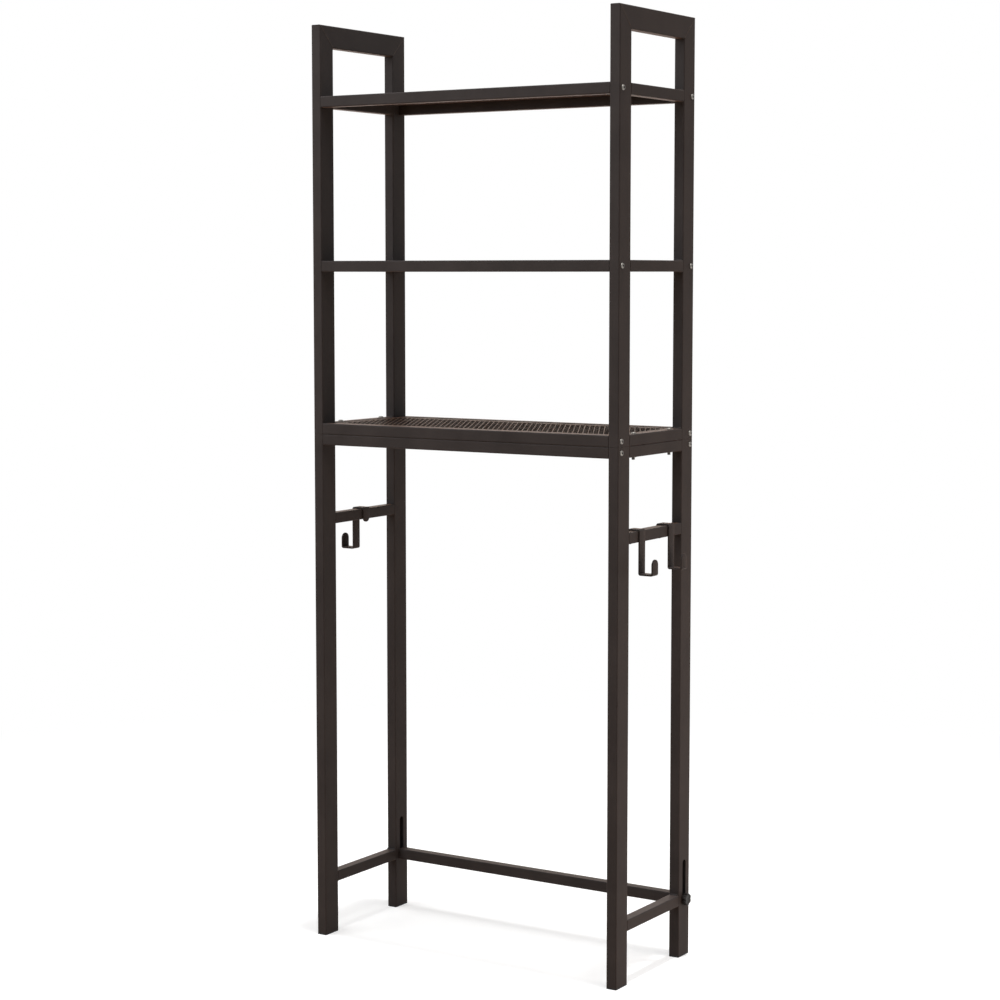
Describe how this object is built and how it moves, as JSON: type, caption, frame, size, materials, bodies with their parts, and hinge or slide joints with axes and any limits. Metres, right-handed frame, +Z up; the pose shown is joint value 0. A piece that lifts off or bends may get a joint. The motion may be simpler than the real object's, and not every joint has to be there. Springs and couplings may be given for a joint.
{
  "type": "over the toilet storage rack",
  "caption": "Free-standing tubular steel rack that spans a toilet, with mesh shelves above, a height-adjustable rear stretcher and hooks on its side rails.",
  "frame": {"origin": "on the floor, in the middle of the footprint", "axes": "+Z up, +X to the right and +Y to the back for a person who faces the rack"},
  "size_m": [0.7086, 0.27, 1.7],
  "materials": {
    "powder_coat": "fine satin powder coat",
    "mesh_coat": "fine satin powder coat on expanded metal",
    "hook_coat": "fine satin powder coat on bent flat bar",
    "zinc_screws": "bright zinc plate",
    "insert_steel": "plain zinc-plated steel",
    "black_plastic": "fine-grained moulded nylon"
  },
  "bodies": {
    "frame": {"left_top_bar": "powder_coat", "left_top_side_rail": "powder_coat", "left_middle_side_rail": "powder_coat", "left_base_side_rail": "powder_coat", "left_joint_rail": "powder_coat", "left_hook_rail": "powder_coat", "left_foot_rail": "powder_coat", "left_upper_front_post": "powder_coat", "left_upper_rear_post": "powder_coat", "left_lower_front_post": "powder_coat", "left_lower_rear_post": "powder_coat", "left_front_foot": "black_plastic", "left_rear_foot": "black_plastic", "right_top_bar": "powder_coat", "right_top_side_rail": "powder_coat", "right_middle_side_rail": "powder_coat", "right_base_side_rail": "powder_coat", "right_joint_rail": "powder_coat", "right_hook_rail": "powder_coat", "right_foot_rail": "powder_coat", "right_upper_front_post": "powder_coat", "right_upper_rear_post": "powder_coat", "right_lower_front_post": "powder_coat", "right_lower_rear_post": "powder_coat", "right_front_foot": "black_plastic", "right_rear_foot": "black_plastic", "top_shelf_front_rail": "powder_coat", "top_shelf_rear_rail": "powder_coat", "top_shelf_mesh": "mesh_coat", "top_shelf_screws": "zinc_screws", "top_shelf_inserts": "insert_steel", "middle_shelf_front_rail": "powder_coat", "middle_shelf_rear_rail": "powder_coat", "middle_shelf_mesh": "mesh_coat", "middle_shelf_screws": "zinc_screws", "middle_shelf_inserts": "insert_steel", "base_shelf_front_rail": "powder_coat", "base_shelf_rear_rail": "powder_coat", "base_shelf_mesh": "mesh_coat", "base_shelf_screws": "zinc_screws", "base_shelf_inserts": "insert_steel", "front_brace_rail": "powder_coat", "rear_brace_rail": "powder_coat", "brace_rail_screws": "zinc_screws", "brace_rail_inserts": "insert_steel", "joint_screws": "zinc_screws", "joint_rivet_nuts": "insert_steel"},
    "stretcher": {"stretcher_tube": "powder_coat", "left_stretcher_plug": "black_plastic", "right_stretcher_plug": "black_plastic"},
    "left_knob": {"left_knob": "black_plastic", "left_knob_stud": "insert_steel"},
    "right_knob": {"right_knob": "black_plastic", "right_knob_stud": "insert_steel"},
    "left_hook": {"left_hook": "hook_coat"},
    "right_front_hook": {"right_front_hook": "hook_coat"},
    "right_rear_hook": {"right_rear_hook": "hook_coat"}
  },
  "joints": [
    {"name": "stretcher_slide", "type": "slide", "parent": "frame", "child": "stretcher", "axis": [0, 0, 1], "range_m": [0, 0.067]},
    {"name": "left_knob_turn", "type": "hinge", "parent": "stretcher", "child": "left_knob", "pos_m": [-0.3253, 0.115, 0.106], "axis": [-1, 0, 0], "continuous": true},
    {"name": "right_knob_turn", "type": "hinge", "parent": "stretcher", "child": "right_knob", "pos_m": [0.3253, 0.115, 0.106], "axis": [1, 0, 0], "continuous": true},
    {"name": "left_hook_slide", "type": "slide", "parent": "frame", "child": "left_hook", "axis": [0, 1, 0], "range_m": [-0.0825, 0.0865]},
    {"name": "right_front_hook_slide", "type": "slide", "parent": "frame", "child": "right_front_hook", "axis": [0, 1, 0], "range_m": [-0.0305, 0.0435]},
    {"name": "right_rear_hook_slide", "type": "slide", "parent": "frame", "child": "right_rear_hook", "axis": [0, 1, 0], "range_m": [-0.0425, 0.0315]}
  ]
}
